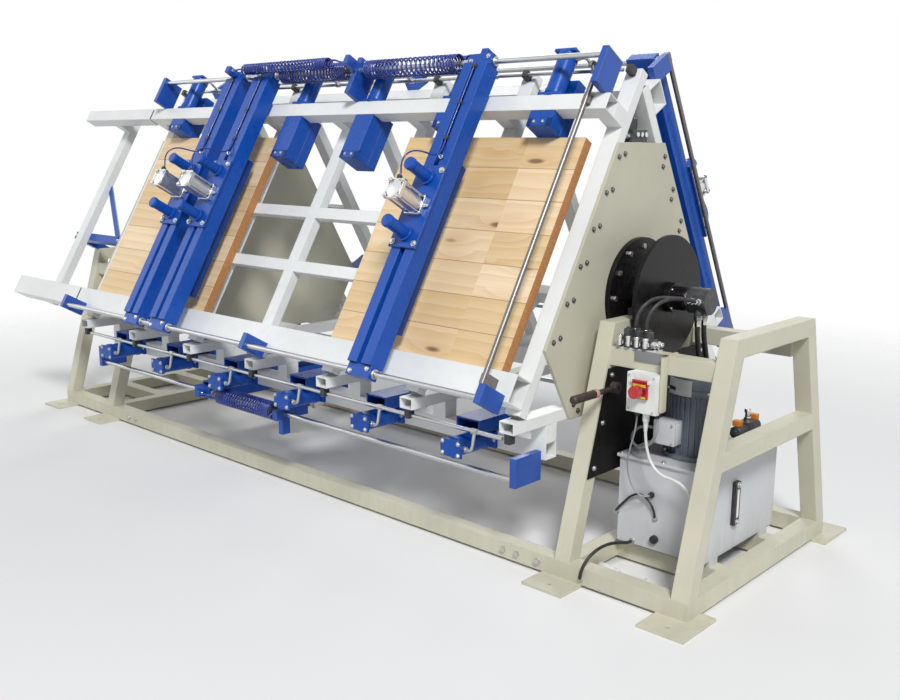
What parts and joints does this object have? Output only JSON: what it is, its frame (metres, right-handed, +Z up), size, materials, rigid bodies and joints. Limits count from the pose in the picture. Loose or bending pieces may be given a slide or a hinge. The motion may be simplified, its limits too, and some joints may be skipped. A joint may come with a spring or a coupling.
{
  "type": "rotary clamp carrier",
  "caption": "Clamp carrier: a three-faced slatted rotor on A-frame stands, with sliding hold-down beams, press jaws and a power unit, for gluing up wood panels.",
  "frame": {"origin": "on the floor, midway between the two stands and under the rotor axis", "axes": "+X along the rotor axis towards the drive stand, +Y away from the operator, +Z up"},
  "size_m": [4.042, 1.6939, 1.7788],
  "materials": {
    "stand_paint": "satin",
    "bolt_steel": "satin",
    "bearing_iron": "matte",
    "shield_black": "satin",
    "tank_paint": "satin",
    "motor_paint": "satin",
    "valve_iron": "matte",
    "fitting_black": "matte",
    "box_plastic": "matte",
    "flap_plastic": "gloss",
    "button_plastic": "gloss",
    "lever_black": "matte",
    "union_brass": "satin",
    "hose_rubber": "matte",
    "rail_white": "satin",
    "clamp_blue": "gloss",
    "shoe_blue": "satin",
    "lead_rubber": "matte",
    "plate_paint": "satin",
    "hub_black": "gloss",
    "rod_steel": "satin",
    "panel_wood": "matte",
    "air_hose_blue": "gloss"
  },
  "bodies": {
    "base": {"left_stand": "stand_paint", "right_stand": "stand_paint", "floor_rails": "stand_paint", "splice_bolts": "bolt_steel", "shaft_bearings": "bearing_iron", "bearing_shield": "shield_black", "oil_tank": "tank_paint", "pump_motor": "motor_paint", "valve_block": "valve_iron", "tank_fittings": "fitting_black", "switch_box": "box_plastic", "union_body": "union_brass", "supply_hoses": "hose_rubber", "wing_frame": "rail_white", "wing_stay": "clamp_blue", "mains_lead": "lead_rubber", "lead_coil": "lead_rubber", "mains_plug": "lead_rubber"},
    "flap": {"switch_flap": "flap_plastic"},
    "button": {"stop_button": "button_plastic"},
    "lever": {"lock_lever": "lever_black"},
    "rotor": {"end_plates": "plate_paint", "hub_flanges": "hub_black", "hub_bolts": "bolt_steel", "stub_shafts": "rod_steel", "guide_rods": "rod_steel", "end_stop_bar": "rod_steel", "glued_panels": "panel_wood", "front_fixed_jaw": "rail_white", "front_press_rail": "rail_white", "bottom_rails": "rail_white", "rear_rails": "rail_white", "front_slats": "rail_white", "bottom_slats": "rail_white", "rear_slats": "rail_white", "front_cylinders": "clamp_blue", "bottom_cylinders": "clamp_blue", "rear_cylinders": "clamp_blue", "air_hose_1": "air_hose_blue", "air_hose_2": "air_hose_blue", "air_hose_3": "air_hose_blue", "air_hose_4": "air_hose_blue"},
    "front_jaw_1": {"front_jaw_1": "clamp_blue"},
    "front_jaw_2": {"front_jaw_2": "clamp_blue"},
    "front_jaw_3": {"front_jaw_3": "clamp_blue"},
    "front_jaw_4": {"front_jaw_4": "clamp_blue"},
    "front_jaw_5": {"front_jaw_5": "clamp_blue"},
    "front_jaw_6": {"front_jaw_6": "clamp_blue"},
    "bottom_jaws": {"bottom_jaws": "clamp_blue"},
    "rear_jaws": {"rear_jaws": "clamp_blue"},
    "front_beam_1": {"front_beam_1": "clamp_blue"},
    "front_shoe_1": {"front_shoe_1": "shoe_blue"},
    "front_beam_2": {"front_beam_2": "clamp_blue"},
    "front_shoe_2": {"front_shoe_2": "shoe_blue"},
    "front_beam_3": {"front_beam_3": "clamp_blue"},
    "front_shoe_3": {"front_shoe_3": "shoe_blue"},
    "rear_beam": {"rear_beam": "clamp_blue"},
    "rear_shoe": {"rear_shoe": "shoe_blue"},
    "bottom_beam": {"bottom_beam": "clamp_blue"},
    "bottom_shoe": {"bottom_shoe": "shoe_blue"}
  },
  "joints": [
    {"name": "rotor_turn", "type": "hinge", "parent": "base", "child": "rotor", "pos_m": [0, 0, 0.91], "axis": [1, 0, 0], "continuous": true},
    {"name": "front_jaw_1_press", "type": "slide", "parent": "rotor", "child": "front_jaw_1", "axis": [0, 0.5, 0.866], "range_m": [0, 0.03]},
    {"name": "front_jaw_2_press", "type": "slide", "parent": "rotor", "child": "front_jaw_2", "axis": [0, 0.5, 0.866], "range_m": [0, 0.03]},
    {"name": "front_jaw_3_press", "type": "slide", "parent": "rotor", "child": "front_jaw_3", "axis": [0, 0.5, 0.866], "range_m": [0, 0.165]},
    {"name": "front_jaw_4_press", "type": "slide", "parent": "rotor", "child": "front_jaw_4", "axis": [0, 0.5, 0.866], "range_m": [0, 0.165]},
    {"name": "front_jaw_5_press", "type": "slide", "parent": "rotor", "child": "front_jaw_5", "axis": [0, 0.5, 0.866], "range_m": [0, 0.03]},
    {"name": "front_jaw_6_press", "type": "slide", "parent": "rotor", "child": "front_jaw_6", "axis": [0, 0.5, 0.866], "range_m": [0, 0.03]},
    {"name": "bottom_jaws_press", "type": "slide", "parent": "rotor", "child": "bottom_jaws", "axis": [0, -1, 0], "range_m": [-0.136, 0.03]},
    {"name": "rear_jaws_press", "type": "slide", "parent": "rotor", "child": "rear_jaws", "axis": [0, 0.5, -0.866], "range_m": [-0.136, 0.03]},
    {"name": "front_beam_1_slide", "type": "slide", "parent": "rotor", "child": "front_beam_1", "axis": [1, 0, 0], "range_m": [-0.4, 0.03], "deforming": ["air_hose_2"]},
    {"name": "front_shoe_1_press", "type": "slide", "parent": "front_beam_1", "child": "front_shoe_1", "axis": [0, 0.866, -0.5], "range_m": [0, 0.043]},
    {"name": "front_beam_2_slide", "type": "slide", "parent": "rotor", "child": "front_beam_2", "axis": [1, 0, 0], "range_m": [-0.03, 0.48], "deforming": ["air_hose_1"]},
    {"name": "front_shoe_2_press", "type": "slide", "parent": "front_beam_2", "child": "front_shoe_2", "axis": [0, 0.866, -0.5], "range_m": [0, 0.043]},
    {"name": "front_beam_3_slide", "type": "slide", "parent": "rotor", "child": "front_beam_3", "axis": [1, 0, 0], "range_m": [-0.55, 0.36], "deforming": ["air_hose_3"]},
    {"name": "front_shoe_3_press", "type": "slide", "parent": "front_beam_3", "child": "front_shoe_3", "axis": [0, 0.866, -0.5], "range_m": [0, 0.043]},
    {"name": "rear_beam_slide", "type": "slide", "parent": "rotor", "child": "rear_beam", "axis": [1, 0, 0], "range_m": [-0.995, 0.005]},
    {"name": "rear_shoe_press", "type": "slide", "parent": "rear_beam", "child": "rear_shoe", "axis": [0, -0.866, -0.5], "range_m": [0, 0.08]},
    {"name": "bottom_beam_slide", "type": "slide", "parent": "rotor", "child": "bottom_beam", "axis": [1, 0, 0], "range_m": [-0.7, 0.46], "deforming": ["air_hose_4"]},
    {"name": "bottom_shoe_press", "type": "slide", "parent": "bottom_beam", "child": "bottom_shoe", "axis": [0, 0, 1], "range_m": [0, 0.08]},
    {"name": "switch_flap_hinge", "type": "hinge", "parent": "base", "child": "flap", "pos_m": [1.649, -0.355, 0.688], "axis": [-1, 0, 0], "range_deg": [0, 100]},
    {"name": "stop_button_press", "type": "slide", "parent": "flap", "child": "button", "axis": [0, 1, 0], "range_m": [0, 0.004], "stiffness_N_per_m": 800},
    {"name": "lock_lever_turn", "type": "hinge", "parent": "base", "child": "lever", "pos_m": [1.528, -0.30923, 0.64], "axis": [-1, 0, 0], "range_deg": [-35, 45]}
  ]
}
